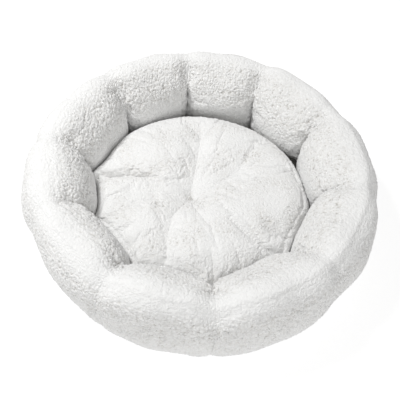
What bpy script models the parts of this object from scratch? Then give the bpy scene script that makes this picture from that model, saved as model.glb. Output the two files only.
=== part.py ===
"""Round nest bed for a small pet, in metres, +Z up, standing on z = 0 about the Z axis.

A ring of stuffed petals is sewn side to side round a padded base, and a loose
tufted cushion lies in the hollow of the ring and lifts straight out of it.
"""

import math

import bmesh
import bpy

# Driving dimensions of the ring of petals
BED_RADIUS = 0.250
BED_HEIGHT = 0.134
RING_THICKNESS = 0.094
CREST_INSET = 0.033
BULGE_HEIGHT = 0.064
PETAL_COUNT = 10
FIRST_SEAM_DEG = 30.5

# Hand sewing and stuffing leave the petals uneven: how far each seam sits off the even
# pitch, and how much further each petal stands out of the ring than the next
SEAM_DRIFT_DEG = (1.5, 1.5, 0.0, -1.0, 2.5, -2.5, -4.0, -5.0, 0.0, 0.0)
PETAL_SWELL = (0.0, 0.0, 0.0, 0.002, 0.003, -0.003, -0.002, 0.0, 0.002, 0.0)

# How far each seam draws its petals in, on the four sides of the ring
SEAM_DRAW_INNER = 0.024
SEAM_DRAW_OUTER = 0.003
SEAM_DRAW_TOP = 0.005
SEAM_DRAW_FOOT = 0.004
PETAL_BLUNTNESS = 2.4
# The petals at the back stand a little further back, because the cushion lies forward of them.
# The two at the front lean out under their own weight, and their seam is drawn in deepest.
BACK_LEAN = 0.005
FRONT_LEAN = 0.006
FRONT_NOTCH = 0.007

# Shape of a petal's cross-section: how square its top and bottom halves are
TOP_SQUARENESS = 1.9
FOOT_SQUARENESS = 2.6
FOOT_FLATTENING = 0.005

# Cloth, thread and padding
COVER_WALL = 0.006
THREAD_RADIUS = 0.0006
THREAD_CREASE_DEPTH = 0.0018
BASE_PANEL_THICKNESS = 0.002
BASE_PANEL_INSET = 0.024
BASE_PAD_THICKNESS = 0.010
BASE_LINING_THICKNESS = 0.0015
BASE_LINING_MARGIN = 0.004

# Loose cushion
CUSHION_THICKNESS = 0.058
CUSHION_SEAM_SHARE = 0.52
CUSHION_EDGE_GAP = 0.002
CUSHION_MIDDLE = (-0.004, -0.015)
CUSHION_RADIUS = 0.164
CUSHION_LOBE_FULLNESS = 0.32
CUSHION_WALL = 0.004
CUSHION_TOP_POWERS = (3.4, 2.3)
CUSHION_FOOT_POWERS = (5.0, 2.6)
TUFT_AT = (-0.016, -0.020)
TUFT_DEPTH_TOP = 0.019
TUFT_DEPTH_FOOT = 0.008
TUFT_REACH = 0.17
TUFT_THREAD_RADIUS = 0.0012
TUFT_KNOT_RADIUS = 0.0030
TUFT_KNOT_HEIGHT = 0.0020
TUFT_SEAT_MARGIN = 0.002

# Clearances: between touching meshes, and at the ends of a petal's filling
SEAT_GAP = 0.0003
FILL_GAP = 0.0008
FILL_END_GAP = 0.0005

# Fineness of the meshes
SECTION_POINTS = 16
PETAL_STATIONS = 7
DISC_SIDES = 48
KNOT_SIDES = 10
CUSHION_POINTS_PER_PETAL = 4
CUSHION_RING_SHARES = (1.0, 0.97, 0.86, 0.62, 0.34, 0.14)

# Heights that stack up from the floor
RING_FOOT_Z = BASE_PANEL_THICKNESS + SEAT_GAP
BASE_PAD_Z = BASE_PANEL_THICKNESS + SEAT_GAP
BASE_LINING_Z = BASE_PAD_Z + BASE_PAD_THICKNESS + SEAT_GAP
CUSHION_Z = BASE_LINING_Z + BASE_LINING_THICKNESS + SEAT_GAP
CUSHION_SEAM_Z = CUSHION_Z + CUSHION_THICKNESS * CUSHION_SEAM_SHARE
CREST_RADIUS = BED_RADIUS - CREST_INSET
BULGE_RADIUS = BED_RADIUS - RING_THICKNESS
HALF_PITCH = math.pi / PETAL_COUNT


def clear_scene():
    for old in list(bpy.data.objects):
        bpy.data.objects.remove(old, do_unlink=True)


def material(name, colour, roughness):
    made = bpy.data.materials.new(name)
    made.use_nodes = True
    shader = made.node_tree.nodes["Principled BSDF"]
    shader.inputs["Base Color"].default_value = (*colour, 1.0)
    shader.inputs["Roughness"].default_value = roughness
    shader.inputs["Metallic"].default_value = 0.0
    return made


def mesh_object(name, points, faces, finish):
    """One closed body from points and faces, with every face turned outward."""
    shape = bmesh.new()
    corners = [shape.verts.new(point) for point in points]
    for face in faces:
        shape.faces.new([corners[index] for index in face])
    bmesh.ops.recalc_face_normals(shape, faces=shape.faces)
    mesh = bpy.data.meshes.new(name)
    shape.to_mesh(mesh)
    shape.free()
    mesh.shade_smooth()
    mesh.set_sharp_from_angle(angle=math.radians(50))
    mesh.materials.append(finish)
    made = bpy.data.objects.new(name, mesh)
    bpy.context.scene.collection.objects.link(made)
    return made


def band(low, high, count):
    """Triangles between two rings of equal count that start at the given indices."""
    faces = []
    for here in range(count):
        ahead = (here + 1) % count
        faces.append((low + here, low + ahead, high + ahead))
        faces.append((low + here, high + ahead, high + here))
    return faces


def skin(rings, first=0):
    """Triangles over consecutive closed rings of points, all cut along the same diagonal."""
    count = len(rings[0])
    faces = []
    for row in range(len(rings) - 1):
        low = first + row * count
        faces += band(low, low + count, count)
    return faces


def walled_shell(name, outer_rings, inner_rings, finish):
    """A wall between two skins of matching rings, open at both ends."""
    count = len(outer_rings[0])
    rows = len(outer_rings)
    points = [point for ring in outer_rings + inner_rings for point in ring]
    inner_first = rows * count
    last_row = (rows - 1) * count
    faces = skin(outer_rings) + skin(inner_rings, inner_first)
    faces += band(0, inner_first, count)
    faces += band(last_row, inner_first + last_row, count)
    return mesh_object(name, points, faces, finish)


def capped_solid(name, rings, finish):
    """A solid through consecutive rings, closed with a flat face at each end."""
    count = len(rings[0])
    points = [point for ring in rings for point in ring]
    last_row = (len(rings) - 1) * count
    faces = skin(rings)
    faces.append(tuple(range(count)))
    faces.append(tuple(last_row + here for here in range(count)))
    return mesh_object(name, points, faces, finish)


def pulled_back(ring, next_ring, gap):
    """The ring with each point moved by gap towards its match in the next ring."""
    moved = []
    for point, target in zip(ring, next_ring):
        share = gap / math.dist(point, target)
        moved.append(tuple(a + (b - a) * share for a, b in zip(point, target)))
    return moved


# The ring of petals


def seam_angle(index):
    """Angle of a seam about Z. Index PETAL_COUNT is seam 0 again, one turn on."""
    drift = SEAM_DRIFT_DEG[index % PETAL_COUNT % len(SEAM_DRIFT_DEG)]
    return math.radians(FIRST_SEAM_DEG + drift) + 2 * HALF_PITCH * index


def fullness(across):
    """How far a petal stands out of its seams, 0 at a seam and 1 at mid-petal."""
    return math.sqrt(max(0.0, 1.0 - abs(across) ** PETAL_BLUNTNESS))


def inner_radius(full, angle):
    """Radius of the ring's inner bulge at an angle about Z, where a petal is this full."""
    front = max(0.0, -math.sin(angle)) ** 4
    lean = BACK_LEAN * max(0.0, math.sin(angle)) ** 2 + FRONT_LEAN * front
    return BULGE_RADIUS + lean + (SEAM_DRAW_INNER + FRONT_NOTCH * front) * (1.0 - full)


def section(full, angle, inset, swell=0.0):
    """Cross-section of the ring as (radius, height) pairs, drawn in by inset all round."""
    slack = 1.0 - full
    inner = inner_radius(full, angle)
    outer = BED_RADIUS - SEAM_DRAW_OUTER * slack + swell * full
    top = BED_HEIGHT - SEAM_DRAW_TOP * slack - inset
    foot = RING_FOOT_Z + SEAM_DRAW_FOOT * slack + inset
    half_inner = CREST_RADIUS - inner - inset
    half_outer = outer - CREST_RADIUS - inset
    half_top = top - BULGE_HEIGHT
    half_foot = BULGE_HEIGHT - foot + FOOT_FLATTENING
    pairs = []
    for step in range(SECTION_POINTS):
        turn = 2 * math.pi * step / SECTION_POINTS
        along = math.cos(turn)
        up = math.sin(turn)
        power = 2 / (TOP_SQUARENESS if up >= 0 else FOOT_SQUARENESS)
        wide = half_outer if along >= 0 else half_inner
        tall = half_top if up >= 0 else half_foot
        radius = CREST_RADIUS + math.copysign(wide * abs(along) ** power, along)
        height = BULGE_HEIGHT + math.copysign(tall * abs(up) ** power, up)
        pairs.append((radius, max(height, foot)))
    return pairs


def stand_at(pairs, angle, shift=0.0):
    """Points of a cross-section stood at an angle about Z, moved sideways by shift."""
    return [
        (
            radius * math.cos(angle) - shift * math.sin(angle),
            radius * math.sin(angle) + shift * math.cos(angle),
            height,
        )
        for radius, height in pairs
    ]


def petal_rings(index, inset):
    """A petal's cross-sections from its first seam to its last, drawn in by inset."""
    start = seam_angle(index)
    end = seam_angle(index + 1)
    swell = PETAL_SWELL[index % len(PETAL_SWELL)]
    rings = []
    for station in range(PETAL_STATIONS):
        across = math.sin(math.pi * (station / (PETAL_STATIONS - 1) - 0.5))
        angle = start + (end - start) * (across + 1) / 2
        shift = 0.0
        if station == 0:
            shift = SEAT_GAP / 2
        if station == PETAL_STATIONS - 1:
            shift = -SEAT_GAP / 2
        pairs = section(fullness(across), angle, inset, swell)
        rings.append(stand_at(pairs, angle, shift))
    return rings


def build_petal(index, cloth, fibre):
    number = f"{index + 1:02d}"
    walled_shell(
        f"petal_cover_{number}",
        petal_rings(index, 0.0),
        petal_rings(index, COVER_WALL),
        cloth,
    )
    rings = petal_rings(index, COVER_WALL + FILL_GAP)
    rings[0] = pulled_back(rings[0], rings[1], FILL_END_GAP)
    rings[-1] = pulled_back(rings[-1], rings[-2], FILL_END_GAP)
    capped_solid(f"petal_fill_{number}", rings, fibre)


def build_seam_thread(index, thread):
    """The sewing thread of one seam, a loop right round the ring in the crease."""
    name = f"seam_thread_{index + 1:02d}"
    curve = bpy.data.curves.new(name, "CURVE")
    curve.dimensions = "3D"
    curve.bevel_depth = THREAD_RADIUS
    curve.bevel_resolution = 0
    pairs = []
    for radius, height in section(0.0, seam_angle(index), -THREAD_RADIUS - SEAT_GAP):
        lean = max(0.0, (CREST_RADIUS - radius) / (CREST_RADIUS - BULGE_RADIUS))
        pairs.append((radius - THREAD_CREASE_DEPTH * lean, height))
    loop = stand_at(pairs, seam_angle(index))
    spline = curve.splines.new("POLY")
    spline.points.add(len(loop) - 1)
    for place, point in zip(spline.points, loop):
        place.co = (*point, 1.0)
    spline.use_cyclic_u = True
    curve.materials.append(thread)
    made = bpy.data.objects.new(name, curve)
    bpy.context.scene.collection.objects.link(made)
    return made


# The base


def circle(radius, height, sides, centre=(0.0, 0.0)):
    return [
        (
            centre[0] + radius * math.cos(2 * math.pi * step / sides),
            centre[1] + radius * math.sin(2 * math.pi * step / sides),
            height,
        )
        for step in range(sides)
    ]


def disc(name, radius, low, thickness, finish):
    rings = [circle(radius, low, DISC_SIDES), circle(radius, low + thickness, DISC_SIDES)]
    return capped_solid(name, rings, finish)


def build_base(canvas, fibre, lining):
    disc("base_panel", BED_RADIUS - BASE_PANEL_INSET, 0.0, BASE_PANEL_THICKNESS, canvas)
    disc("base_pad", BULGE_RADIUS, BASE_PAD_Z, BASE_PAD_THICKNESS, fibre)
    lining_radius = BULGE_RADIUS + BASE_LINING_MARGIN
    disc("base_lining", lining_radius, BASE_LINING_Z, BASE_LINING_THICKNESS, lining)


# The loose cushion


def cushion_cut(angle):
    """Radius about Z of the circle the cushion is cut to, whose middle lies a little forward."""
    towards = CUSHION_MIDDLE[0] * math.cos(angle) + CUSHION_MIDDLE[1] * math.sin(angle)
    aside = CUSHION_MIDDLE[0] * math.sin(angle) - CUSHION_MIDDLE[1] * math.cos(angle)
    return towards + math.sqrt(CUSHION_RADIUS**2 - aside**2)


def cushion_outline():
    """The cushion's edge seen from above: its own circle, pressed in by the petals."""
    edge = []
    for index in range(PETAL_COUNT):
        start = seam_angle(index)
        end = seam_angle(index + 1)
        for step in range(CUSHION_POINTS_PER_PETAL):
            share = step / CUSHION_POINTS_PER_PETAL
            full = max(fullness(2 * share - 1), CUSHION_LOBE_FULLNESS)
            angle = start + (end - start) * share
            radius = min(inner_radius(full, angle) - CUSHION_EDGE_GAP, cushion_cut(angle))
            edge.append((radius * math.cos(angle), radius * math.sin(angle)))
    return edge


def crowned_height(share, thickness, powers, tuft_depth):
    """Height of the cushion's face over its seam, at a share of the way from tuft to edge."""
    swell = (1.0 - share ** powers[0]) ** (1.0 / powers[1])
    return thickness * swell - tuft_depth * math.exp(-((share / TUFT_REACH) ** 2))


def face_rings(inset, upper, gap=0.0):
    """Rings of one face of the cushion from its edge in to its tuft, drawn in by inset."""
    if upper:
        rise = CUSHION_THICKNESS * (1.0 - CUSHION_SEAM_SHARE)
        powers, depth, side = CUSHION_TOP_POWERS, TUFT_DEPTH_TOP, 1.0
    else:
        rise = CUSHION_THICKNESS * CUSHION_SEAM_SHARE
        powers, depth, side = CUSHION_FOOT_POWERS, TUFT_DEPTH_FOOT, -1.0
    base = CUSHION_SEAM_Z + side * gap
    tall = rise - gap - inset
    outline = cushion_outline()
    rings = []
    for share in CUSHION_RING_SHARES:
        height = base + side * crowned_height(share, tall, powers, depth)
        ring = []
        for x, y in outline:
            reach = math.hypot(x - TUFT_AT[0], y - TUFT_AT[1])
            pull = share * (1.0 - inset / reach)
            ring.append(
                (
                    TUFT_AT[0] + pull * (x - TUFT_AT[0]),
                    TUFT_AT[1] + pull * (y - TUFT_AT[1]),
                    height,
                )
            )
        rings.append(ring)
    seat_height = base + side * (tall - depth)
    for radius in (TUFT_KNOT_RADIUS + TUFT_SEAT_MARGIN, TUFT_THREAD_RADIUS + SEAT_GAP):
        ring = []
        for x, y in outline:
            angle = math.atan2(y - TUFT_AT[1], x - TUFT_AT[0])
            ring.append(
                (
                    TUFT_AT[0] + radius * math.cos(angle),
                    TUFT_AT[1] + radius * math.sin(angle),
                    seat_height,
                )
            )
        rings.append(ring)
    return rings


def build_cushion(cloth, fibre, thread):
    half_gap = SEAT_GAP / 2
    for name, upper in (("cushion_cover_top", True), ("cushion_cover_bottom", False)):
        walled_shell(
            name,
            face_rings(0.0, upper, half_gap),
            face_rings(CUSHION_WALL, upper, half_gap),
            cloth,
        )
    inset = CUSHION_WALL + FILL_GAP
    foot_rings = face_rings(inset, False, half_gap)
    top_rings = face_rings(inset, True, half_gap)
    rings = foot_rings[::-1] + top_rings
    count = len(rings[0])
    points = [point for ring in rings for point in ring]
    closing = band((len(rings) - 1) * count, 0, count)
    mesh_object("cushion_fill", points, skin(rings) + closing, fibre)

    top_seat = face_rings(0.0, True, half_gap)[-1][0][2] + SEAT_GAP
    foot_seat = face_rings(0.0, False, half_gap)[-1][0][2] - SEAT_GAP
    profile = (
        (TUFT_KNOT_RADIUS, foot_seat - TUFT_KNOT_HEIGHT),
        (TUFT_KNOT_RADIUS, foot_seat),
        (TUFT_THREAD_RADIUS, foot_seat),
        (TUFT_THREAD_RADIUS, top_seat),
        (TUFT_KNOT_RADIUS, top_seat),
        (TUFT_KNOT_RADIUS, top_seat + TUFT_KNOT_HEIGHT),
    )
    capped_solid(
        "tuft_thread",
        [circle(radius, height, KNOT_SIDES, TUFT_AT) for radius, height in profile],
        thread,
    )


clear_scene()
sherpa = material("white_sherpa", (0.84, 0.83, 0.81), 0.95)
stuffing = material("polyester_fibre", (0.90, 0.90, 0.88), 1.0)
sewing_thread = material("white_thread", (0.80, 0.79, 0.77), 0.7)
base_canvas = material("base_canvas", (0.55, 0.54, 0.52), 0.85)
plain_lining = material("plain_lining", (0.75, 0.74, 0.71), 0.9)
for petal in range(PETAL_COUNT):
    build_petal(petal, sherpa, stuffing)
    build_seam_thread(petal, sewing_thread)
build_base(base_canvas, stuffing, plain_lining)
build_cushion(sherpa, stuffing, sewing_thread)
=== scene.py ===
import math

import bpy
import numpy as np
from mathutils import Matrix, Vector


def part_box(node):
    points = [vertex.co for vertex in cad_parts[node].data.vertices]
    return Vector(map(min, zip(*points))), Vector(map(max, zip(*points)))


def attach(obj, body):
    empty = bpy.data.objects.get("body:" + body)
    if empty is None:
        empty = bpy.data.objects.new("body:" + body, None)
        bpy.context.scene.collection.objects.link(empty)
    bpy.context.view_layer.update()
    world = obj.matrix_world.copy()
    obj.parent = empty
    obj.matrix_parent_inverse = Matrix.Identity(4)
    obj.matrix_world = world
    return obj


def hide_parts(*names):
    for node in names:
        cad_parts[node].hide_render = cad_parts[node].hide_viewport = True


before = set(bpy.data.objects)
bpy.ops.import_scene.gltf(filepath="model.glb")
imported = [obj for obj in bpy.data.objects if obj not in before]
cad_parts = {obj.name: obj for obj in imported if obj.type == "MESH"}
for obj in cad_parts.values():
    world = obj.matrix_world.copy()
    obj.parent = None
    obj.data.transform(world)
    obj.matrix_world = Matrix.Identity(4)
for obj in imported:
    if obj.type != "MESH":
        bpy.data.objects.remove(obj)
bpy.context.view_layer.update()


# ---------------------------------------------------------------------------
# The ring: ten sherpa petals, cut as gores, sewn side to side and stuffed hard.
# Each seam is held where its thread draws it in, and the cloth between two
# seams is cut long, so that the stuffing swells it and it puckers at the seams.
# ---------------------------------------------------------------------------

PETALS = 10
RING_BODY = "bed_shell"

# The ring's section, at mid-petal. Angles round it start outermost and go up over the crest.
RING_RADIUS = 0.250
RING_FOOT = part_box("petal_cover_01")[0].z
RING_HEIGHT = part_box("petal_cover_01")[1].z
CREST_RADIUS = 0.217
BULGE_RADIUS = 0.156
BULGE_HEIGHT = 0.064
TOP_SQUARENESS = 1.9
FOOT_SQUARENESS = 2.45
FOOT_FLATTENING = 0.005

# How far the seams draw it in, and how the petals at the back and the front differ
SEAM_DRAW_INNER = 0.024
SEAM_DRAW_OUTER = 0.003
SEAM_DRAW_TOP = 0.005
SEAM_DRAW_FOOT = 0.004
SEAM_DIP_WIDTH = 0.30
BACK_LEAN = 0.005
FRONT_LEAN = 0.006
FRONT_SLUMP = 0.003
FRONT_NOTCH = 0.007

# A petal is round over its crest, and blunt where it is pinched between two seams lower down
PETAL_BLUNTNESS = 2.3
ROUND_AT_CREST = 1.0
ROUND_AT_FOOT = 0.5
PINCH_STARTS = math.radians(106)
PINCH_LATER_BEHIND = math.radians(8)
PINCH_LENGTH = math.radians(40)
BLUNTING_LENGTH = 1.5 * PINCH_LENGTH

# The cloth: rows along a petal and round its section, each then made this many times finer
CLOTH_INSET = 0.0045
FOOT_INSET_SHARE = 0.3
PETAL_ROWS = 26
ROUND_ROWS = 66
FINER = 5
CLOTH_HANDLE = {
    "quality": 6,
    "mass": 0.15,
    "tension_stiffness": 12,
    "compression_stiffness": 12,
    "shear_stiffness": 4,
    "bending_stiffness": 0.15,
    "air_damping": 2,
}
PUFFING_STEPS = 20

# Its stuffing: where the seams and the foot are held, and how far the cloth swells and sinks
SEAM_HELD = (math.radians(125), math.radians(300))
FOOT_HELD = (math.radians(240), math.radians(300))
RING_PRESSURE = 3.0
RING_SPARE_CLOTH = 0.05
RING_PUFF = 0.005
RING_SINK = 0.0015
LUMP_HEIGHT = 0.0016
LUMP_LENGTH = 0.060
LUMPS_CALM_AT_SEAM = 0.015

# The gathers at each seam, placed by the angle round a section of this mean radius
SECTION_RADIUS = 0.055
PUCKERS = 5
PUCKER_SPAN = (105, 215)
PUCKER_DRIFT = 9
PUCKER_WIDTH = 0.0030
PUCKER_DEPTH = 0.0030
PUCKER_LENGTH = 0.022
PUCKER_START = 0.003
PUCKER_SLOPE = 0.45
PUCKER_BOW = 6

# The pile: its height, its share of that at degrees round the section, and its curls' size
# and share. It is pinched down along the seams on the inner side, and pressed at the floor.
PILE_HEIGHT = 0.0029
PILE_ZONES = (
    (0, 40, 65, 95, 120, 150, 185, 240, 300, 360),
    (1.05, 1.0, 0.42, 0.38, 1.0, 1.15, 0.6, 0.35, 0.5, 1.05),
)
CURLS = ((0.0040, 0.6), (0.0025, 0.4))
CURL_WANDER = 0.22
CURL_SCATTER = 0.9
CURL_RIDGE = 0.38
CURL_DOME = 0.75
CURL_BASE = 0.35
PILE_PINCHED_AT = math.radians(185)
PILE_PINCHED_REACH = math.radians(40)
PILE_PINCHED_FADE = math.radians(30)
PILE_AT_SEAM = 0.0040
PILE_LEAST_AT_SEAM = 0.15
PILE_OFF_FLOOR = 0.004
PILE_LEAST_AT_FLOOR = 0.05
# Place in the pile, for the painted shade, given to the points that close a piece's ends
PILE_OF_ENDS = 0.5
SEAM_GAP = 0.00003


class Wire:
    """A socket in a finish. Sums on it add Math nodes, and node() adds any other."""

    def __init__(self, tree, socket=None):
        self.tree = tree
        self.socket = socket

    def node(self, kind, settings=(), sockets=(), out=0):
        """Adds a node, makes its settings, then fills its sockets with values or wires."""
        made = self.tree.nodes.new("ShaderNode" + kind)
        for name, value in dict(settings).items():
            if name == "stops":
                ramp = made.color_ramp.elements
                for place, colour in value[len(ramp):]:
                    ramp.new(place)
                for stop, (place, colour) in zip(ramp, value):
                    stop.position = place
                    stop.color = (*colour, 1.0)
            else:
                setattr(made, name, value)
        for name, value in dict(sockets).items():
            if isinstance(value, Wire):
                self.tree.links.new(value.socket, made.inputs[name])
            else:
                made.inputs[name].default_value = value
        return Wire(self.tree, made.outputs[out])

    def into(self, shader, name):
        """Links this wire to a socket of the shader."""
        self.tree.links.new(self.socket, shader.inputs[name])

    def maths(self, operation, *values):
        return self.node("Math", {"operation": operation}, dict(enumerate(values)))

    def __add__(self, other):
        return self.maths("ADD", self, other)

    def __radd__(self, other):
        return self.maths("ADD", other, self)

    def __sub__(self, other):
        return self.maths("SUBTRACT", self, other)

    def __rsub__(self, other):
        return self.maths("SUBTRACT", other, self)

    def __mul__(self, other):
        return self.maths("MULTIPLY", self, other)

    def __rmul__(self, other):
        return self.maths("MULTIPLY", other, self)

    def __pow__(self, other):
        return self.maths("POWER", self, other)

    def mixed(self, other, share):
        """This colour, going over to another by a share from 0 to 1."""
        colours = {"data_type": "RGBA", "clamp_factor": True}
        return self.node("Mix", colours, {0: share, 6: self, 7: other}, out=2)


def finish_of(name, roughness, **constants):
    """A new material: its shader node, and a wire to start its pattern from."""
    material = bpy.data.materials.new(name)
    material.use_nodes = True
    shader = material.node_tree.nodes["Principled BSDF"]
    shader.inputs["Roughness"].default_value = roughness
    for socket, value in constants.items():
        shader.inputs[socket.replace("_", " ")].default_value = value
    return material, shader, Wire(material.node_tree)


def sherpa_finish():
    """Warm white curly polyester, with shade painted into its colour: paler at the tips, darker and
    warmer down in the pile and in the gaps between curls, where shade falls.
    """
    material, shader, pattern = finish_of(
        "white_sherpa", 0.95, Sheen_Weight=0.25, Sheen_Roughness=0.6, Specular_IOR_Level=0.2
    )
    place = pattern.node("NewGeometry")
    # How near a tip each point lies: the finish darkens the colour lower in the pile, painted shade
    depth = pattern.node("Attribute", {"attribute_name": "pile"}, out=2)
    drift = pattern.node("TexNoise", {}, {"Vector": place, "Scale": 150.0, "Detail": 2.0}, out=1)
    bent = pattern.node(
        "VectorMath", {"operation": "MULTIPLY_ADD"}, {0: drift, 1: (0.005, 0.005, 0.005), 2: place}
    )
    # The curls' edges darken the colour as well as shaping the bump: painted shade in the gaps between
    # curls
    curl = 1 - pattern.node("TexVoronoi", {}, {"Vector": bent, "Scale": 360.0})
    patches = pattern.node("TexNoise", {}, {"Vector": place, "Scale": 12.0, "Detail": 3.0})
    # Painted shade from depth and from the gaps between curls, plus tone that differs at random from
    # the broad patches
    tips = 0.85 * depth + 0.30 * curl + 0.10 * (patches - 0.5)
    # Dark warm grey in the pits up to near white at the tips: painted shade
    stops = [
        (0.19, (0.54, 0.525, 0.50)),
        (0.41, (0.79, 0.782, 0.765)),
        (0.68, (0.853, 0.852, 0.846)),
    ]
    colour = pattern.node("ValToRGB", {"stops": stops}, {"Fac": tips})
    fibres = pattern.node(
        "TexNoise", {}, {"Vector": place, "Scale": 1700.0, "Detail": 4.0, "Roughness": 0.7}
    )
    fuzz = pattern.node("Bump", {}, {"Height": fibres, "Strength": 0.5, "Distance": 0.0006})
    bump = pattern.node(
        "Bump", {}, {"Height": curl, "Normal": fuzz, "Strength": 0.9, "Distance": 0.0010}
    )
    colour.into(shader, "Base Color")
    bump.into(shader, "Normal")
    return material


def seam_angle(index):
    """Where a seam stands about Z: at the middle of its thread, which is a flat loop."""
    low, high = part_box(f"seam_thread_{index % PETALS + 1:02d}")
    middle = (low + high) / 2
    turn = math.atan2(middle.y, middle.x) % (2 * math.pi)
    return turn + 2 * math.pi * (index // PETALS)


def outer_swell(index):
    """How far a petal stands out past the ring's radius, from its own cover."""
    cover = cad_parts[f"petal_cover_{index + 1:02d}"]
    return max(point.co.xy.length for point in cover.data.vertices) - RING_RADIUS


def fullness(across, roundness=ROUND_AT_FOOT):
    """How far a petal stands out of its seams, 0 at a seam and 1 at mid-petal."""
    return np.maximum(0.0, 1.0 - np.abs(across) ** PETAL_BLUNTNESS) ** roundness


def facing_front(angle):
    """Share of the way round to the front, 1 there and 0 from the sides back."""
    return np.maximum(0.0, -np.sin(angle)) ** 4


def inner_radius(angle, drawn):
    """Radius of the petals' inner side, where their seam draws them in by a share."""
    lean = BACK_LEAN * np.maximum(0.0, np.sin(angle)) ** 2 + FRONT_LEAN * facing_front(angle)
    return BULGE_RADIUS + lean + (SEAM_DRAW_INNER + FRONT_NOTCH * facing_front(angle)) * drawn


def ring_skin(place, angle, swell, turn, inset):
    """Radius and height of the ring's skin, across a petal and round its cross-section."""
    start = PINCH_STARTS + PINCH_LATER_BEHIND * math.sin(angle)
    low = np.clip((turn - start) / BLUNTING_LENGTH, 0, 1)
    full = fullness(place, ROUND_AT_CREST + (ROUND_AT_FOOT - ROUND_AT_CREST) * low)
    dip = math.exp(-(((1 - abs(place)) / SEAM_DIP_WIDTH) ** 2))
    pinch = np.clip((turn - start) / PINCH_LENGTH, 0, 1)
    inner = inner_radius(angle, dip + (1 - full - dip) * pinch)
    outer = RING_RADIUS - SEAM_DRAW_OUTER * dip + swell * (1 - dip)
    front = facing_front(angle)
    top = RING_HEIGHT - FRONT_SLUMP * front - (SEAM_DRAW_TOP + FRONT_NOTCH * front) * dip - inset
    foot = RING_FOOT + SEAM_DRAW_FOOT * (1 - full) + inset * FOOT_INSET_SHARE
    along, up = np.cos(turn), np.sin(turn)
    power = np.where(up >= 0, 2 / TOP_SQUARENESS, 2 / FOOT_SQUARENESS)
    wide = np.where(along >= 0, outer - CREST_RADIUS - inset, CREST_RADIUS - inner - inset)
    tall = np.where(up >= 0, top - BULGE_HEIGHT, BULGE_HEIGHT - foot + FOOT_FLATTENING)
    radius = CREST_RADIUS + wide * np.sign(along) * np.abs(along) ** power
    height = BULGE_HEIGHT + tall * np.sign(up) * np.abs(up) ** power
    return radius, np.maximum(height, foot)


def puffed(points, faces, held, pressure, spare, cap, sink):
    """Points of a cloth once its stuffing has swelled it, moved by cap at most, and in by sink."""
    scene = bpy.context.scene
    mesh = bpy.data.meshes.new("puffing")
    mesh.from_pydata(points.tolist(), [], faces)
    cloth = bpy.data.objects.new("puffing", mesh)
    scene.collection.objects.link(cloth)
    cloth.vertex_groups.new(name="held").add([int(index) for index in held], 1.0, "REPLACE")
    swelling = cloth.modifiers.new("swelling", "CLOTH")
    for setting, value in CLOTH_HANDLE.items():
        setattr(swelling.settings, setting, value)
    swelling.settings.use_pressure = True
    swelling.settings.uniform_pressure_force = pressure
    swelling.settings.vertex_group_mass = "held"
    swelling.settings.shrink_min = -spare
    swelling.settings.effector_weights.gravity = 0
    swelling.point_cache.frame_start = 1
    swelling.point_cache.frame_end = PUFFING_STEPS
    for step in range(1, PUFFING_STEPS + 1):
        scene.frame_set(step)
    after = cloth.evaluated_get(bpy.context.evaluated_depsgraph_get()).to_mesh()
    moved = np.empty(len(points) * 3, np.float32)
    after.vertices.foreach_get("co", moved)
    outward = np.array([point.normal for point in mesh.vertices])
    shift = moved.reshape(-1, 3) - points
    rise = (shift * outward).sum(1, keepdims=True)
    shift += outward * (np.maximum(rise, -sink) - rise)
    length = np.linalg.norm(shift, axis=1, keepdims=True)
    bpy.data.objects.remove(cloth, do_unlink=True)
    bpy.data.meshes.remove(mesh)
    scene.frame_set(1)
    return points + shift * np.minimum(1.0, cap / np.maximum(length, 1e-9))


def finer(grid, times, axis, closed=True):
    """The grid made so many times finer along an axis, on a smooth curve through its rows."""
    end = []
    if closed:
        before, after, beyond = (np.roll(grid, step, axis) for step in (1, -1, -2))
    else:
        last = grid.shape[axis] - 1
        places = np.arange(last)
        before = np.take(grid, np.maximum(places - 1, 0), axis)
        after = np.take(grid, places + 1, axis)
        beyond = np.take(grid, np.minimum(places + 2, last), axis)
        end = [np.take(grid, [last], axis)]
        grid = np.take(grid, places, axis)
    rows = []
    for step in range(times):
        t = step / times
        rows.append(
            grid
            + 0.5 * t * (after - before)
            + 0.5 * t**2 * (2 * before - 5 * grid + 4 * after - beyond)
            + 0.5 * t**3 * (3 * grid - before - 3 * after + beyond)
        )
    shape = list(grid.shape)
    shape[axis] *= times
    return np.concatenate([np.stack(rows, axis + 1).reshape(shape), *end], axis)


def grid_faces(rows, columns, closed_columns):
    """Quads over a grid of points that are numbered row by row."""
    row = np.arange(rows - 1)[:, None] * columns
    column = np.arange(columns if closed_columns else columns - 1)[None, :]
    ahead = (column + 1) % columns
    quads = np.stack([row + column, row + columns + column, row + columns + ahead, row + ahead], -1)
    return quads.reshape(-1, 4)


def grid_normals(grid, closed_rows, closed_columns):
    """Unit normals of a grid of points."""
    slopes = []
    for axis, closed in ((0, closed_rows), (1, closed_columns)):
        if closed:
            slopes.append(np.roll(grid, -1, axis) - np.roll(grid, 1, axis))
        else:
            slopes.append(np.gradient(grid, axis=axis))
    normal = np.cross(slopes[0], slopes[1])
    return normal / np.maximum(np.linalg.norm(normal, axis=-1, keepdims=True), 1e-12)


def swells(points, length, seed, waves=7):
    """A smooth random field in three parts, each about -1 to 1, with swells one length long."""
    draw = np.random.default_rng(seed)
    total = np.zeros_like(points)
    for _ in range(waves):
        heading = draw.normal(size=3)
        heading *= 2 * math.pi / (length * draw.uniform(0.8, 1.6) * np.linalg.norm(heading))
        phase = draw.uniform(0, 2 * math.pi, 3)
        total += np.sin((points @ heading)[:, None] + phase) * draw.normal(size=3)
    return total / math.sqrt(waves)


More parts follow.
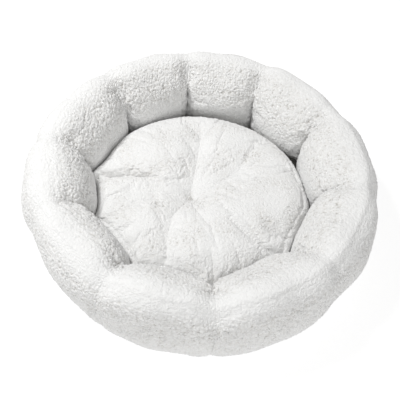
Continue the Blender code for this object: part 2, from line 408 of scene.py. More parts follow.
def scatter(cells, seed):
    """Four numbers from 0 to 1 for each cell of a lattice, the same ones each time."""
    # Large primes keep the three numbers of a cell and the seed apart
    key = cells.astype(np.int64) + 4096
    mixed = key[:, 0] * 73856093 ^ key[:, 1] * 19349663 ^ key[:, 2] * 83492791 ^ seed * 6542989
    draws = []
    for _ in range(4):
        mixed = (mixed ^ (mixed >> 15)) * 2246822519 & 0xFFFFFFFF
        mixed = (mixed ^ (mixed >> 13)) * 3266489917 & 0xFFFFFFFF
        draws.append((mixed >> 8 & 0xFFFF) / 65535.0)
    return np.stack(draws, 1)


def curls(points, size, seed):
    """Rounded clumps of pile of about one size: height from 0 to 1, and each clump's lean."""
    spot = (points + swells(points, size * 2.4, seed) * size * CURL_WANDER) / size
    home = np.floor(spot)
    nearest = np.full(len(points), 9.0)
    second = np.full(len(points), 9.0)
    lean = np.zeros_like(points)
    for step in np.ndindex(3, 3, 3):
        cell = home + (np.array(step) - 1)
        draw = scatter(cell, seed)
        gap = spot - cell - 0.5 - (draw[:, :3] - 0.5) * CURL_SCATTER
        far = (gap * gap).sum(1)
        closer = far < nearest
        second = np.where(closer, nearest, np.minimum(second, far))
        nearest = np.where(closer, far, nearest)
        lean[closer] = draw[closer, 1:] - 0.5
    ridge = np.clip((np.sqrt(second) - np.sqrt(nearest)) / CURL_RIDGE, 0, 1)
    dome = np.clip(1.0 - nearest / CURL_DOME, 0, 1)
    return dome * (CURL_BASE + (1 - CURL_BASE) * ridge * (2 - ridge)), lean


def with_pile(points, normals, height, whole, seed):
    """Points of cloth raised into curly pile, and how near a tip each one lies, 0 to 1, from which the
    finish paints shade down in the pile.

    A whole pile has pits as deep as its height; where it is combed lower, they are shallower."""
    body = np.zeros(len(points))
    lean = np.zeros_like(points)
    for number, (size, share) in enumerate(CURLS):
        curl, heading = curls(points, size, seed + number)
        body += share * curl
        lean += heading * curl[:, None] * share
    lean *= height[:, None]
    lean -= normals * (lean * normals).sum(1, keepdims=True)
    # Lower in a full pile the finish paints the colour darker: painted shade
    tips = 1 - (1 - body) * np.clip(height / whole, 0, 1)
    return points + normals * (body * height)[:, None] + lean, tips


def mesh_piece(name, points, faces, finish, pile=None):
    """A new piece with smooth faces and one finish; pile is each point's place in the pile, from which
    the finish paints shade.
    """
    mesh = bpy.data.meshes.new(name)
    mesh.from_pydata(points.tolist(), [], faces)
    mesh.shade_smooth()
    if pile is not None:
        places = mesh.attributes.new("pile", "FLOAT", "POINT")
        places.data.foreach_set("value", pile.astype(np.float32))
    mesh.materials.append(finish)
    piece = bpy.data.objects.new(name, mesh)
    bpy.context.scene.collection.objects.link(piece)
    return piece


def ring_cloth():
    """The ring's cloth before its pile, as a grid: each row is one section round the ring."""
    turn = 2 * np.pi * np.arange(ROUND_ROWS) / ROUND_ROWS
    rows = []
    for index in range(PETALS):
        start, end = seam_angle(index), seam_angle(index + 1)
        even = 2 * np.arange(PETAL_ROWS) / PETAL_ROWS - 1
        for place in 0.5 * np.sin(np.pi / 2 * even) + 0.5 * even:
            angle = start + (end - start) * (place + 1) / 2
            radius, height = ring_skin(place, angle, outer_swell(index), turn, CLOTH_INSET)
            rows.append(np.stack([radius * math.cos(angle), radius * math.sin(angle), height], -1))
    cloth = np.array(rows)
    numbers = np.arange(cloth.shape[0] * ROUND_ROWS).reshape(-1, ROUND_ROWS)
    inside = (turn > SEAM_HELD[0]) & (turn < SEAM_HELD[1])
    foot = (turn > FOOT_HELD[0]) & (turn < FOOT_HELD[1])
    held = np.concatenate([numbers[::PETAL_ROWS, inside].ravel(), numbers[:, foot].ravel()])
    faces = grid_faces(len(cloth) + 1, ROUND_ROWS, True) % numbers.size
    spots, held = cloth.reshape(-1, 3), np.unique(held)
    swelled = puffed(
        spots, faces.tolist(), held, RING_PRESSURE, RING_SPARE_CLOTH, RING_PUFF, RING_SINK
    )
    cloth = swelled.reshape(cloth.shape)
    cloth[..., 2] = np.maximum(cloth[..., 2], RING_FOOT)
    return finer(finer(cloth, FINER, 0), FINER, 1)


def puckers(reaches, turn):
    """How far the gathers at each seam draw the cloth in: short creases that run out from it."""
    draw = np.random.default_rng(17)
    arc = SECTION_RADIUS * turn
    middles = np.linspace(*PUCKER_SPAN, PUCKERS)
    dip = np.zeros_like(reaches[0])
    for reach in reaches:
        for side in (1, -1):
            for start in np.radians(middles + draw.uniform(-PUCKER_DRIFT, PUCKER_DRIFT, PUCKERS)):
                slope = draw.uniform(-PUCKER_SLOPE, PUCKER_SLOPE)
                bow = draw.uniform(-PUCKER_BOW, PUCKER_BOW)
                depth = PUCKER_DEPTH * draw.uniform(0.3, 1)
                length = PUCKER_LENGTH * draw.uniform(0.6, 1.6)
                out = np.maximum(side * reach, 0)
                line = SECTION_RADIUS * start + slope * out + bow * out**2
                cross = np.exp(-((np.abs(arc - line) / PUCKER_WIDTH) ** 1.3))
                dip += depth * cross * np.exp(-out / length) * (1 - np.exp(-out / PUCKER_START))
    return dip


def with_ring_pile(cloth):
    """The ring's cloth lumped by its stuffing and raised into pile, and each point's place in it, from
    which the finish paints shade.
    """
    normals = grid_normals(cloth, True, True)
    spots = cloth.reshape(-1, 3)
    lumps = swells(spots, LUMP_LENGTH, seed=5)[:, 0].reshape(cloth.shape[:2])
    step = np.linalg.norm(np.roll(cloth, -1, 0) - cloth, axis=-1)
    along = np.concatenate([[np.zeros_like(step[0])], step.cumsum(0)])
    whole, along = along[-1], along[:-1]
    seam_rows = np.arange(0, len(cloth), PETAL_ROWS * FINER)
    reaches = [(along - along[row] + whole / 2) % whole - whole / 2 for row in seam_rows]
    reach = np.min(np.abs(reaches), axis=0)
    turn = 2 * np.pi * np.arange(cloth.shape[1]) / cloth.shape[1]
    cloth = cloth - normals * puckers(reaches, turn)[..., None]
    off_pinch = PILE_PINCHED_REACH - np.abs(turn - PILE_PINCHED_AT)
    pinched = np.clip(off_pinch / PILE_PINCHED_FADE + 1, 0, 1)
    raised = 1 - pinched * (1 - np.clip(reach / PILE_AT_SEAM, PILE_LEAST_AT_SEAM, 1))
    raised *= np.interp(np.degrees(turn), *PILE_ZONES)
    off_floor = np.clip((cloth[..., 2] - RING_FOOT) / PILE_OFF_FLOOR, PILE_LEAST_AT_FLOOR, 1)
    calm = np.clip(reach / LUMPS_CALM_AT_SEAM, 0, 1)
    lumped = cloth + normals * (lumps * calm * off_floor * LUMP_HEIGHT)[..., None]
    height = (PILE_HEIGHT * raised * off_floor).ravel()
    spots, outward = lumped.reshape(-1, 3), normals.reshape(-1, 3)
    points, tips = with_pile(spots, outward, height, PILE_HEIGHT, seed=11)
    points[:, 2] = np.maximum(points[:, 2], RING_FOOT)
    return points.reshape(cloth.shape), tips.reshape(cloth.shape[:2])


def ring_petal(index):
    """One petal's cover, cut from the ring's cloth between two seams, with its ends closed."""
    rows = np.arange(index * PETAL_ROWS * FINER, (index + 1) * PETAL_ROWS * FINER + 1) % len(pile)
    points = pile[rows]
    for row, seam, side in ((0, index, 1.0), (-1, index + 1, -1.0)):
        turn = seam_angle(seam)
        points[row] += side * SEAM_GAP * np.array((-math.sin(turn), math.cos(turn), 0.0))
    columns = points.shape[1]
    count = len(rows) * columns
    faces = grid_faces(len(rows), columns, True).tolist()
    for column in range(columns):
        ahead = (column + 1) % columns
        faces.append([column, ahead, count])
        faces.append([count - columns + ahead, count - columns + column, count + 1])
    middles = [points[0].mean(0), points[-1].mean(0)]
    number = f"{index + 1:02d}"
    petal = mesh_piece(
        f"ring_petal_{number}",
        np.vstack([points.reshape(-1, 3), middles]),
        faces,
        sherpa,
        np.append(pile_shade_mask[rows], [PILE_OF_ENDS, PILE_OF_ENDS]),
    )
    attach(petal, RING_BODY)
    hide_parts(f"petal_cover_{number}")


sherpa = sherpa_finish()
cloth = ring_cloth()
# Each point's place in the pile, which paints shade into the ring's colour
pile, pile_shade_mask = with_ring_pile(cloth)
for petal_index in range(PETALS):
    ring_petal(petal_index)


# ---------------------------------------------------------------------------
# The stuffing: one wad of loose white polyester fibre in each petal, pushed in
# before the petal is closed. It fills its cover and shows only through a torn seam.
# ---------------------------------------------------------------------------

WADDING_INSET = 0.0045
WADDING_END_GAP = 0.0010
WADDING_MIDDLE = (0.205, 0.064)


def wadding_finish():
    """Loose polyester fibre: bright, matt and tangled, with painted shade where its strands lie low."""
    material, shader, pattern = finish_of("polyester_fibre", 1.0, Sheen_Weight=0.2)
    place = pattern.node("NewGeometry")
    strands = pattern.node(
        "TexNoise", {}, {"Vector": place, "Scale": 260.0, "Detail": 6.0, "Distortion": 1.5}
    )
    stops = [(0.3, (0.80, 0.80, 0.79)), (0.7, (0.91, 0.91, 0.90))]
    # Darker where the strands' bump is low: painted shade
    colour = pattern.node("ValToRGB", {"stops": stops}, {"Fac": strands})
    bump = pattern.node("Bump", {}, {"Height": strands, "Strength": 0.8, "Distance": 0.002})
    colour.into(shader, "Base Color")
    bump.into(shader, "Normal")
    return material


def petal_wadding(index):
    """One petal's stuffing: the shape inside its cover, coarser and closed at both ends."""
    step = PETAL_ROWS * FINER
    rows = np.arange(index * step, (index + 1) * step + 1, 2 * FINER) % len(cloth)
    points = cloth[rows][:, ::2 * FINER]
    angle = np.arctan2(points[:, :1, 1], points[:, :1, 0])
    radius, middle = WADDING_MIDDLE
    heights = np.full_like(angle, middle)
    heart = np.stack([radius * np.cos(angle), radius * np.sin(angle), heights], -1)
    away = points - heart
    length = np.linalg.norm(away, axis=-1, keepdims=True)
    points = heart + away * (1 - WADDING_INSET / length)
    for row, seam, side in ((0, index, 1.0), (-1, index + 1, -1.0)):
        turn = seam_angle(seam)
        points[row] += side * WADDING_END_GAP * np.array((-math.sin(turn), math.cos(turn), 0.0))
    columns = points.shape[1]
    faces = grid_faces(len(points), columns, True).tolist()
    last = (len(points) - 1) * columns
    faces.append(list(range(columns)))
    faces.append([last + column for column in range(columns)][::-1])
    number = f"{index + 1:02d}"
    wad = mesh_piece(f"petal_wadding_{number}", points.reshape(-1, 3), faces, wadding)
    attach(wad, RING_BODY)
    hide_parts(f"petal_fill_{number}")


wadding = wadding_finish()
for petal_index in range(PETALS):
    petal_wadding(petal_index)


# ---------------------------------------------------------------------------
# The seam threads: one twisted polyester thread to a seam, running right round
# the ring in short stitches that lie down in the crease under the pile.
# ---------------------------------------------------------------------------

THREAD_RADIUS = 0.0006
STITCH_LENGTH = 0.004
THREAD_SIDES = 8
THREAD_DEPTH = 0.0012
THREAD_AT_HOLE = 0.6
THREAD_RISE = 0.0003


def thread_finish():
    """White twisted thread: fine slanting plies, darker in the grooves between them by painted shade, a
    little gloss.
    """
    material, shader, pattern = finish_of("white_thread", 0.6, Sheen_Weight=0.1)
    place = pattern.node("NewGeometry")
    slant = {"bands_direction": "DIAGONAL"}
    plies = pattern.node("TexWave", slant, {"Vector": place, "Scale": 420.0, "Distortion": 2.0})
    shade = pattern.node("RGB")
    shade.socket.default_value = (0.86, 0.85, 0.83, 1)
    dark = pattern.node("RGB")
    dark.socket.default_value = (0.66, 0.65, 0.62, 1)
    # The dark colour falls where the plies' bump is low: painted shade in the grooves
    dark.mixed(shade, plies).into(shader, "Base Color")
    bump = pattern.node("Bump", {}, {"Height": plies, "Strength": 0.5, "Distance": 0.0003})
    bump.into(shader, "Normal")
    return material


def sewn_loop(line, outward):
    """Points and faces of a thread round a closed line, drawn thin at each needle hole."""
    run = np.roll(line, -1, 0) - np.roll(line, 1, 0)
    run /= np.linalg.norm(run, axis=1, keepdims=True)
    across = np.cross(run, outward)
    along = np.linalg.norm(np.roll(line, -1, 0) - line, axis=1).cumsum()
    stitch = np.abs(np.sin(np.pi * along / STITCH_LENGTH))[:, None, None]
    turn = 2 * np.pi * np.arange(THREAD_SIDES)[None, :, None] / THREAD_SIDES
    ring = np.cos(turn) * outward[:, None] + np.sin(turn) * across[:, None]
    thickness = THREAD_RADIUS * (THREAD_AT_HOLE + (1 - THREAD_AT_HOLE) * stitch)
    points = line[:, None] + ring * thickness + outward[:, None] * THREAD_RISE * stitch
    faces = grid_faces(len(line) + 1, THREAD_SIDES, True) % (len(line) * THREAD_SIDES)
    return points.reshape(-1, 3), faces


def seam_stitches(index):
    """One seam's thread: a closed loop that lies down in the crease."""
    row = index * PETAL_ROWS * FINER
    points, faces = sewn_loop(cloth[row] - cloth_outward[row] * THREAD_DEPTH, cloth_outward[row])
    number = f"{index + 1:02d}"
    thread = mesh_piece(f"seam_stitches_{number}", points, faces.tolist(), white_thread)
    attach(thread, RING_BODY)
    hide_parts(f"seam_thread_{number}")


white_thread = thread_finish()
cloth_outward = grid_normals(cloth, True, True)
for seam_index in range(PETALS):
    seam_stitches(seam_index)


# ---------------------------------------------------------------------------
# The cushion: a loose round cover of the same sherpa, two faces seamed at a
# welt and stuffed, drawn in at one tuft, from which soft folds run outward.
# ---------------------------------------------------------------------------

CUSHION_BODY = "cushion"
CUSHION_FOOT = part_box("cushion_cover_bottom")[0].z
CUSHION_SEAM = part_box("cushion_cover_bottom")[1].z
CUSHION_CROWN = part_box("cushion_cover_top")[1].z

# Its outline: a circle a little forward of the ring's middle, pressed in by the petals
CUSHION_MIDDLE = (-0.004, -0.015)
CUSHION_RADIUS = 0.164
CUSHION_EDGE_GAP = 0.0015
EDGE_SOFTNESS = 0.002
LOBE_FULLNESS = 0.40

# Its crown and underside, and the welt along its edge
TOP_POWERS = (5.0, 2.4)
FOOT_POWERS = (5.0, 2.6)
WELT_INSET = 0.0110
WELT_WIDTH = 0.0028
WELT_DEPTH = 0.0022

# The tuft: a wide dimple and a narrow pit in the upper face, and a dimple in the lower one
TUFT = (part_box("tuft_thread")[0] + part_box("tuft_thread")[1]) / 2
TUFT_DEPTH = 0.014
TUFT_REACH = 0.13
TUFT_SLOPE = 1.4
TUFT_PIT_DEPTH = 0.0055
TUFT_PIT_REACH = 0.045
FOOT_DIMPLE = 0.007
TUFT_LOOP_POINTS = 48
TUFT_LOOP_WIDTH = 0.0018
TUFT_LOOP_SQUARENESS = 0.4
TUFT_LOOP_HEADING = 0.4

# The folds and creases: together they and the dimple go no deeper than the limit
FOLD_STRENGTH = 2.0
FOLDS_STOP_AT_EDGE = 0.08
DIP_LIMIT = 0.0215
CREASES = 64
CREASE_START = (0.01, 0.14)
CREASE_LENGTH = (0.015, 0.05)
CREASE_LEAN = (-0.5, 0.5)
CREASE_DEPTH = (0.0008, 0.0026)
CREASE_WIDTH = 0.0022

# Its stuffing swells the upper face wherever the edge, the tuft or a fold doesn't hold it
CUSHION_CELLS = 72
EDGE_HELD_FROM = 0.97
TUFT_HELD_TO = 0.05
FOLD_HELD_FROM = 0.0045
CUSHION_PRESSURE = 4.0
CUSHION_SPARE_CLOTH = 0.04
CUSHION_PUFF = 0.006
CUSHION_WADDING_ACROSS = 41
CUSHION_WADDING_SHARE = (0.965, 0.965, 0.86)

# The pile on its two faces, patchy where it has been lain on
CUSHION_ACROSS = 290
FOOT_ACROSS = 150
CUSHION_PILE = 0.0019
FOOT_PILE = 0.0008
PILE_AT_EDGE = 0.008
PILE_LEAST_AT_EDGE = 0.3
PATCH_LENGTH = 0.055
PATCH_MEAN = 0.75
PATCH_SWING = 0.35
PATCH_LIMITS = (0.3, 1.2)

# Each fold: its line out from the tuft, as angle in degrees and reach in metres, then
# its depth where it starts and where it ends, and its width to its left and its right.
FOLDS = (
    (((171, 0.142), (167, 0.105), (160, 0.066)), 0.014, 0.005, 0.0022, 0.008),
    (((270, 0.004), (205, 0.014), (186, 0.036), (184, 0.068)), 0.009, 0.002, 0.014, 0.007),
    (((97, 0.034), (125, 0.030), (153, 0.040)), 0.004, 0.002, 0.007, 0.004),
    (((90, 0.006), (86, 0.034), (86, 0.070), (87, 0.112)), 0.007, 0.002, 0.014, 0.014),
    (((310, 0.006), (27, 0.026), (33, 0.056), (37, 0.088), (43, 0.112)), 0.009, 0.002, 0.018, 0.008),
    (((202, 0.105), (198, 0.080), (195, 0.052)), 0.003, 0.006, 0.020, 0.010),
    (((262, 0.010), (243, 0.044), (252, 0.080), (259, 0.115)), 0.007, 0.002, 0.012, 0.016),
    (((334, 0.120), (337, 0.142), (339, 0.164)), 0.001, 0.005, 0.005, 0.004),
    (((320, 0.100), (324, 0.140), (328, 0.172)), 0.001, 0.006, 0.006, 0.005),
    (((290, 0.105), (288, 0.135), (286, 0.158)), 0.001, 0.005, 0.006, 0.006),
    (((224, 0.128), (233, 0.130), (241, 0.145)), 0.002, 0.005, 0.006, 0.005),
)


def cushion_edge(angle):
    """Radius of the cushion's edge at angles about Z: it fills the petals' inner side."""
    radius = np.zeros_like(angle)
    first = seam_angle(0)
    turned = (angle - first) % (2 * np.pi) + first
    for index in range(PETALS):
        start, end = seam_angle(index), seam_angle(index + 1)
        here = (turned >= start) & (turned <= end)
        full = fullness(2 * (turned - start) / (end - start) - 1)
        full = np.minimum(np.cbrt(full**3 + LOBE_FULLNESS**3), 1)
        radius = np.where(here, inner_radius(turned, 1 - full), radius)
    towards = CUSHION_MIDDLE[0] * np.cos(angle) + CUSHION_MIDDLE[1] * np.sin(angle)
    aside = CUSHION_MIDDLE[0] * np.sin(angle) - CUSHION_MIDDLE[1] * np.cos(angle)
    cut = towards + np.sqrt(CUSHION_RADIUS**2 - aside**2)
    inside = radius - CUSHION_EDGE_GAP
    return -np.log(np.exp(-inside / EDGE_SOFTNESS) + np.exp(-cut / EDGE_SOFTNESS)) * EDGE_SOFTNESS


def disc_places(across):
    """Share of the way out and angle of each point of a square grid spread over a disc."""
    even = np.linspace(-1, 1, across)
    u, v = np.meshgrid(even, even, indexing="ij")
    u = np.where(np.abs(u) + np.abs(v) < 1e-9, 1e-9, u)
    sideways = np.abs(u) >= np.abs(v)
    share = np.where(sideways, np.abs(u), np.abs(v))
    flat_u = np.where(sideways, u, 1)
    flat_v = np.where(sideways, 1, v)
    angle = np.where(
        sideways,
        np.pi / 4 * v / flat_u + np.where(u < 0, np.pi, 0),
        np.pi / 2 - np.pi / 4 * u / flat_v + np.where(v < 0, np.pi, 0),
    )
    return share, angle


def fold_dip(x, y):
    """How far the folds draw the cushion's face down."""
    dip = np.zeros_like(x)
    for line, depth_start, depth_end, width_left, width_right in FOLDS:
        corners = []
        for turn, reach in line:
            heading = math.radians(turn)
            corners.append((TUFT.x + reach * math.cos(heading), TUFT.y + reach * math.sin(heading)))
        nearest = np.full(x.shape, 1.0)
        here = np.zeros_like(x)
        for number, ((ax, ay), (bx, by)) in enumerate(zip(corners, corners[1:])):
            length = math.hypot(bx - ax, by - ay)
            along = ((x - ax) * (bx - ax) + (y - ay) * (by - ay)) / length**2
            held = np.clip(along, 0, 1)
            side = ((bx - ax) * (y - ay) - (by - ay) * (x - ax)) / length
            far = np.hypot(x - ax - held * (bx - ax), y - ay - held * (by - ay))
            width = np.where(side > 0, width_left, width_right)
            share = (number + held) / (len(corners) - 1)
            depth = depth_start + (depth_end - depth_start) * share
            value = depth * np.exp(-(far / width))
            better = far < nearest
            here = np.where(better, value, here)
            nearest = np.where(better, far, nearest)
        dip = np.hypot(dip, here)
    return FOLD_STRENGTH * dip


def radial_creases(x, y):
    """How far fine creases that run out from the tuft draw the cushion's face down."""
    draw = np.random.default_rng(23)
    angle = np.arctan2(y - TUFT.y, x - TUFT.x)
    reach = np.hypot(x - TUFT.x, y - TUFT.y)
    dip = np.zeros_like(x)
    for _ in range(CREASES):
        turn, start = draw.uniform(-np.pi, np.pi), draw.uniform(*CREASE_START)
        length, lean = draw.uniform(*CREASE_LENGTH), draw.uniform(*CREASE_LEAN)
        away = (angle - turn + np.pi) % (2 * np.pi) - np.pi
        out = reach - start
        line = away * reach - lean * out
        along = np.exp(-((out / length - 0.5) ** 2) * 5)
        cross = np.exp(-((np.abs(line) / CREASE_WIDTH) ** 1.3))
        dip += draw.uniform(*CREASE_DEPTH) * along * cross
    return dip


def cushion_face(across, upper):
    """One face of the cushion before its pile, as a grid from edge to edge."""
    share, angle = disc_places(across)
    edge = cushion_edge(angle)
    x = TUFT.x + share * (edge * np.cos(angle) - TUFT.x)
    y = TUFT.y + share * (edge * np.sin(angle) - TUFT.y)
    if upper:
        rise = (CUSHION_CROWN - CUSHION_SEAM) * (1 - share ** TOP_POWERS[0]) ** (1 / TOP_POWERS[1])
        tuft = TUFT_DEPTH * np.exp(-((share / TUFT_REACH) ** TUFT_SLOPE))
        inside = np.clip((1 - share) / FOLDS_STOP_AT_EDGE, 0, 1)
        off_welt = (1 - share) * CUSHION_RADIUS - WELT_INSET
        welt = WELT_DEPTH * np.exp(-((off_welt / WELT_WIDTH) ** 2))
        folds = fold_dip(x, y) + radial_creases(x, y)
        pit = TUFT_PIT_DEPTH * np.exp(-((share / TUFT_PIT_REACH) ** 2))
        dip = DIP_LIMIT * np.tanh((tuft + folds * inside) / DIP_LIMIT) + pit
        z = CUSHION_SEAM + rise - dip - welt
    else:
        drop = (CUSHION_SEAM - CUSHION_FOOT) * (1 - share ** FOOT_POWERS[0]) ** (1 / FOOT_POWERS[1])
        z = CUSHION_SEAM - drop + FOOT_DIMPLE * np.exp(-((share / TUFT_REACH) ** 2))
    return np.stack([x, y, z], -1), share


def stuffed_face(across):
    """The cushion's upper face, swelled by its stuffing between the folds and the tuft."""
    rough, share = cushion_face(CUSHION_CELLS + 1, True)
    dip = fold_dip(rough[..., 0], rough[..., 1])
    sewn = (share > EDGE_HELD_FROM) | (share < TUFT_HELD_TO) | (dip > FOLD_HELD_FROM)
    points = np.vstack([rough.reshape(-1, 3), [TUFT.x, TUFT.y, CUSHION_FOOT]])
    closing = rim_fan(CUSHION_CELLS + 1, len(points) - 1)
    faces = grid_faces(len(rough), len(rough), False).tolist() + closing
    held = np.append(np.flatnonzero(sewn), len(points) - 1)
    swelled = puffed(
        points, faces, held, CUSHION_PRESSURE, CUSHION_SPARE_CLOTH, CUSHION_PUFF, CUSHION_PUFF
    )
    shift = (swelled - points)[:-1].reshape(rough.shape)
    grid, share = cushion_face(across, True)
    even = np.linspace(0, CUSHION_CELLS, across)
    cell = np.minimum(even.astype(int), CUSHION_CELLS - 1)
    part = even - cell
    for axis in (0, 1):
        weight = part.reshape((-1, 1, 1) if axis == 0 else (1, -1, 1))
        weight = weight * weight * (3 - 2 * weight)
        low, high = np.take(shift, cell, axis), np.take(shift, cell + 1, axis)
        shift = low + (high - low) * weight
    return grid + shift, share


def rim_of(across):
    """The point numbers round the edge of a square grid, in order."""
    numbers = np.arange(across * across).reshape(across, across)
    sides = (numbers[:-1, 0], numbers[-1, :-1], numbers[:0:-1, -1], numbers[0, :0:-1])
    return np.concatenate(sides).tolist()


def rim_fan(across, middle):
    """Triangles from the edge of a square grid to one point in its middle."""
    rim = rim_of(across)
    return [[b, a, middle] for a, b in zip(rim, rim[1:] + rim[:1])]


def cushion_cover(name, node, upper, across, pile_height, seed):
    """One face of the cushion as a closed piece: its outside in pile, its inside at the seam."""
    grid, share = stuffed_face(across) if upper else cushion_face(across, False)
    normals = grid_normals(grid, False, False)
    if normals[across // 2, across // 2, 2] < 0:
        normals = -normals
    if not upper:
        normals = -normals
    raised = np.clip((1 - share) / PILE_AT_EDGE, PILE_LEAST_AT_EDGE, 1)
    patchy = PATCH_MEAN + PATCH_SWING * swells(grid.reshape(-1, 3), PATCH_LENGTH, seed)[:, 0]
    height = pile_height * raised.ravel() * np.clip(patchy, *PATCH_LIMITS)
    points, tips = with_pile(grid.reshape(-1, 3), normals.reshape(-1, 3), height, pile_height, seed)
    if not upper:
        points[:, 2] = np.maximum(points[:, 2], CUSHION_FOOT)
    faces = grid_faces(across, across, False)
    closing = np.array(rim_fan(across, len(points)))
    if not upper:
        faces, closing = faces[:, ::-1], closing[:, ::-1]
    points = np.vstack([points, [TUFT.x, TUFT.y, CUSHION_SEAM]])
    outside = faces.tolist() + closing.tolist()
    # Each point's place in the pile goes to the finish, which paints shade from it
    cover = mesh_piece(name, points, outside, sherpa, np.append(tips, PILE_OF_ENDS))
    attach(cover, CUSHION_BODY)
    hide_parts(node)
    return grid


def two_faced(upper, lower):
    """Points and quads of a closed body whose upper and lower faces meet at their rim."""
    across = len(upper)
    count = across * across
    same = np.arange(2 * count)
    same[count + np.array(rim_of(across))] = rim_of(across)
    quads = grid_faces(across, across, False)
    quads = np.vstack([quads, same[quads[:, ::-1] + count]])
    used, numbers = np.unique(quads, return_inverse=True)
    points = np.vstack([upper.reshape(-1, 3), lower.reshape(-1, 3)])[used]
    return points, numbers.reshape(-1, 4).tolist()


def cushion_wadding(top_face, foot_face):
    """The cushion's stuffing: the shape inside its two covers."""
    heart = np.array((TUFT.x, TUFT.y, CUSHION_SEAM))
    faces = []
    for face in (top_face, foot_face):
        picked = np.linspace(0, len(face) - 1, CUSHION_WADDING_ACROSS).round().astype(int)
        faces.append(heart + (face[np.ix_(picked, picked)] - heart) * CUSHION_WADDING_SHARE)
    points, quads = two_faced(*faces)
    wad = mesh_piece("cushion_wadding", points, quads, wadding)
    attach(wad, CUSHION_BODY)
    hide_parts("cushion_fill")


def tuft_stitches():
    """The tuft's thread: two crossing loops through the cushion, pulled tight in its dimple."""
    low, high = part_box("tuft_thread")
    tall = (high.z - low.z) / 2 - THREAD_RADIUS
    turn = 2 * np.pi * np.arange(TUFT_LOOP_POINTS) / TUFT_LOOP_POINTS
    flat, rise = (
        np.sign(part) * np.abs(part) ** TUFT_LOOP_SQUARENESS for part in (np.cos(turn), np.sin(turn))
    )
    points, faces = [], []
    for number, heading in enumerate((TUFT_LOOP_HEADING, TUFT_LOOP_HEADING + math.pi / 2)):
        side = np.array((math.cos(heading), math.sin(heading), 0.0))
        line = np.array(TUFT) + flat[:, None] * side * TUFT_LOOP_WIDTH + rise[:, None] * (0, 0, tall)
        line += np.array((0, 0, THREAD_RADIUS * (number - 0.5)))
        outward = np.cos(turn)[:, None] * side + np.sin(turn)[:, None] * (0, 0, 1)
        loop, loop_faces = sewn_loop(line, outward)
        points.append(loop)
        faces.append(loop_faces + number * len(loop))
    thread = mesh_piece("tuft_stitches", np.vstack(points), np.vstack(faces).tolist(), white_thread)
    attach(thread, CUSHION_BODY)
    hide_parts("tuft_thread")


cushion_upper = cushion_cover(
    "cushion_top", "cushion_cover_top", True, CUSHION_ACROSS, CUSHION_PILE, seed=31
)
cushion_lower = cushion_cover(
    "cushion_bottom", "cushion_cover_bottom", False, FOOT_ACROSS, FOOT_PILE, seed=47
)
cushion_wadding(cushion_upper, cushion_lower)
tuft_stitches()


# ---------------------------------------------------------------------------
# The base: a canvas panel sewn under the ring, a thin fibre pad on it and a
# woven lining over the pad, on which the cushion lies.
# ---------------------------------------------------------------------------

DISC_ACROSS = 161
WAVE_LENGTH = 0.050
PAD_WAVE = 0.0010
CLOTH_WAVE = 0.0003
HEM_INSET = 0.008
HEM_WIDTH = 0.0014
HEM_DEPTH = 0.0003
HEM_STITCHES = 180


def woven_finish(name, pale, dark, threads):
    """Plain-weave cloth: two sets of ridges a thread apart, crossing square, with shade painted between
    them.
    """
    material, shader, pattern = finish_of(name, 0.85, Sheen_Weight=0.1, Specular_IOR_Level=0.3)
    place = pattern.node("NewGeometry")
    ridges = {"Vector": place, "Scale": threads, "Distortion": 0.3}
    warp = pattern.node("TexWave", {"bands_direction": "X"}, ridges)
    weft = pattern.node("TexWave", {"bands_direction": "Y"}, ridges)
    slubs = pattern.node("TexNoise", {}, {"Vector": place, "Scale": 60.0, "Detail": 4.0})
    weave = warp * weft + 0.5 * slubs
    # Darker where the threads dip between crossings: painted shade; the slubs add tone that differs at
    # random
    colour = pattern.node("ValToRGB", {"stops": [(0.2, dark), (0.9, pale)]}, {"Fac": weave})
    bump = pattern.node("Bump", {}, {"Height": weave, "Strength": 0.6, "Distance": 0.0004})
    colour.into(shader, "Base Color")
    bump.into(shader, "Normal")
    return material


def disc_radius(node):
    """Radius that a round of cloth or wadding is cut to."""
    low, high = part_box(node)
    return (high.x - low.x) / 2


def cloth_disc(name, node, finish, wave, seed):
    """A round of cloth or wadding that fills its own space, with a soft edge and a slight wave."""
    low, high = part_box(node)
    radius, thick = disc_radius(node), high.z - low.z
    share, angle = disc_places(DISC_ACROSS)
    x, y = radius * share * np.cos(angle), radius * share * np.sin(angle)
    rounded = np.sqrt(np.clip((1 - share) * radius / thick, 0, 1))
    spots = np.stack([x, y, np.zeros_like(x)], -1).reshape(-1, 3)
    ripple = np.clip(swells(spots, WAVE_LENGTH, seed), -1, 1).reshape(*x.shape, 3)
    rim = (1 - share) * radius - HEM_INSET
    hem = HEM_DEPTH * np.exp(-((rim / HEM_WIDTH) ** 2)) * (0.6 + 0.4 * np.cos(angle * HEM_STITCHES))
    middle = (low.z + high.z) / 2
    sides = []
    for number, side in enumerate((1, -1)):
        face = thick / 2 * rounded - (wave * (1 + ripple[..., number]) / 2 + hem) * rounded
        sides.append(np.stack([x, y, middle + side * face], -1))
    points, quads = two_faced(*sides)
    piece = mesh_piece(name, points, quads, finish)
    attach(piece, RING_BODY)
    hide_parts(node)
    return piece


canvas = woven_finish("base_canvas", (0.60, 0.59, 0.57), (0.44, 0.43, 0.41), 190.0)
lining = woven_finish("lining_cloth", (0.84, 0.83, 0.80), (0.70, 0.69, 0.66), 260.0)
base_pad = cloth_disc("pad_wadding", "base_pad", wadding, PAD_WAVE, seed=63)
for name, node, finish, slot, seed in (
    ("base_canvas_round", "base_panel", canvas, "base_canvas", 61),
    ("lining_round", "base_lining", lining, "lining_cloth", 62),
):
    cloth_round = cloth_disc(name, node, finish, CLOTH_WAVE, seed)


# ---------------------------------------------------------------------------
# The studio: a pale paper floor, an even pale surround, one soft lamp over the
# bed's left side and a weak wide one in front, and the camera.
# ---------------------------------------------------------------------------

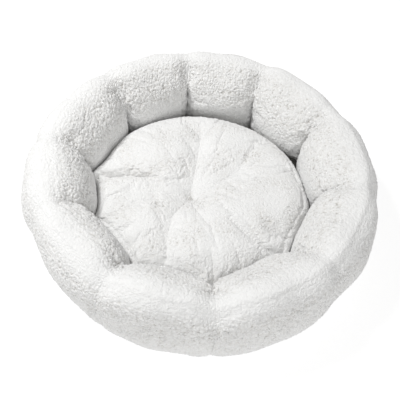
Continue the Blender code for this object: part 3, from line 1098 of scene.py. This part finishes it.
BED_MIDDLE = (0, 0, 0.05)
FLOOR_REACH = 9
PAPER_GREY = (0.40, 0.40, 0.40, 1)
PAPER_GLOW = 0.73
SURROUND_COLOUR = (1, 0.996, 0.987, 1)
SURROUND_STRENGTH = 0.475
ELEVATION = math.radians(53.8)
ROLL = math.radians(5.73)
DISTANCE = 0.826
LENS = 47.33
SHIFT = (-0.0002, 0.0218)


def soft_light(name, place, size, power):
    """A round lamp of a size and power, turned to the bed."""
    lamp = bpy.data.lights.new(name, "AREA")
    lamp.shape = "DISK"
    lamp.size = size
    lamp.energy = power
    light = bpy.data.objects.new(name, lamp)
    light.location = place
    heading = Vector(BED_MIDDLE) - Vector(place)
    light.rotation_euler = heading.to_track_quat("-Z", "Y").to_euler()
    bpy.context.scene.collection.objects.link(light)


floor_mesh = bpy.data.meshes.new("studio_floor")
floor_corners = [(FLOOR_REACH * x, FLOOR_REACH * y, 0) for x, y in ((-1, -1), (1, -1), (1, 1), (-1, 1))]
floor_mesh.from_pydata(floor_corners, [], [(0, 1, 2, 3)])
floor = bpy.data.objects.new("studio_floor", floor_mesh)
bpy.context.scene.collection.objects.link(floor)
paper, paper_shader = finish_of("studio_paper", 0.9, Specular_IOR_Level=0.1)[:2]
paper_shader.inputs["Base Color"].default_value = PAPER_GREY
paper_shader.inputs["Emission Color"].default_value = (1, 1, 1, 1)
paper_shader.inputs["Emission Strength"].default_value = PAPER_GLOW
floor_mesh.materials.append(paper)

world = bpy.data.worlds.new("studio")
world.use_nodes = True
surround = world.node_tree.nodes["Background"].inputs
surround["Color"].default_value = SURROUND_COLOUR
surround["Strength"].default_value = SURROUND_STRENGTH
bpy.context.scene.world = world
soft_light("overhead", (-0.72, 0.16, 1.26), size=0.32, power=11.8)
soft_light("front_fill", (0.20, -1.3, 0.95), size=1.0, power=4.8)
bpy.context.scene.view_settings.view_transform = "Standard"

camera_data = bpy.data.cameras.new("camera")
camera_data.sensor_width = 36
camera_data.lens = LENS
camera_data.shift_x, camera_data.shift_y = SHIFT
camera = bpy.data.objects.new("camera", camera_data)
bpy.context.scene.collection.objects.link(camera)
back = Vector((0, -math.cos(ELEVATION), math.sin(ELEVATION)))
tilt = Matrix.Rotation(math.pi / 2 - ELEVATION, 4, "X") @ Matrix.Rotation(ROLL, 4, "Z")
camera.matrix_world = Matrix.Translation(back * DISTANCE) @ tilt
bpy.context.scene.camera = camera
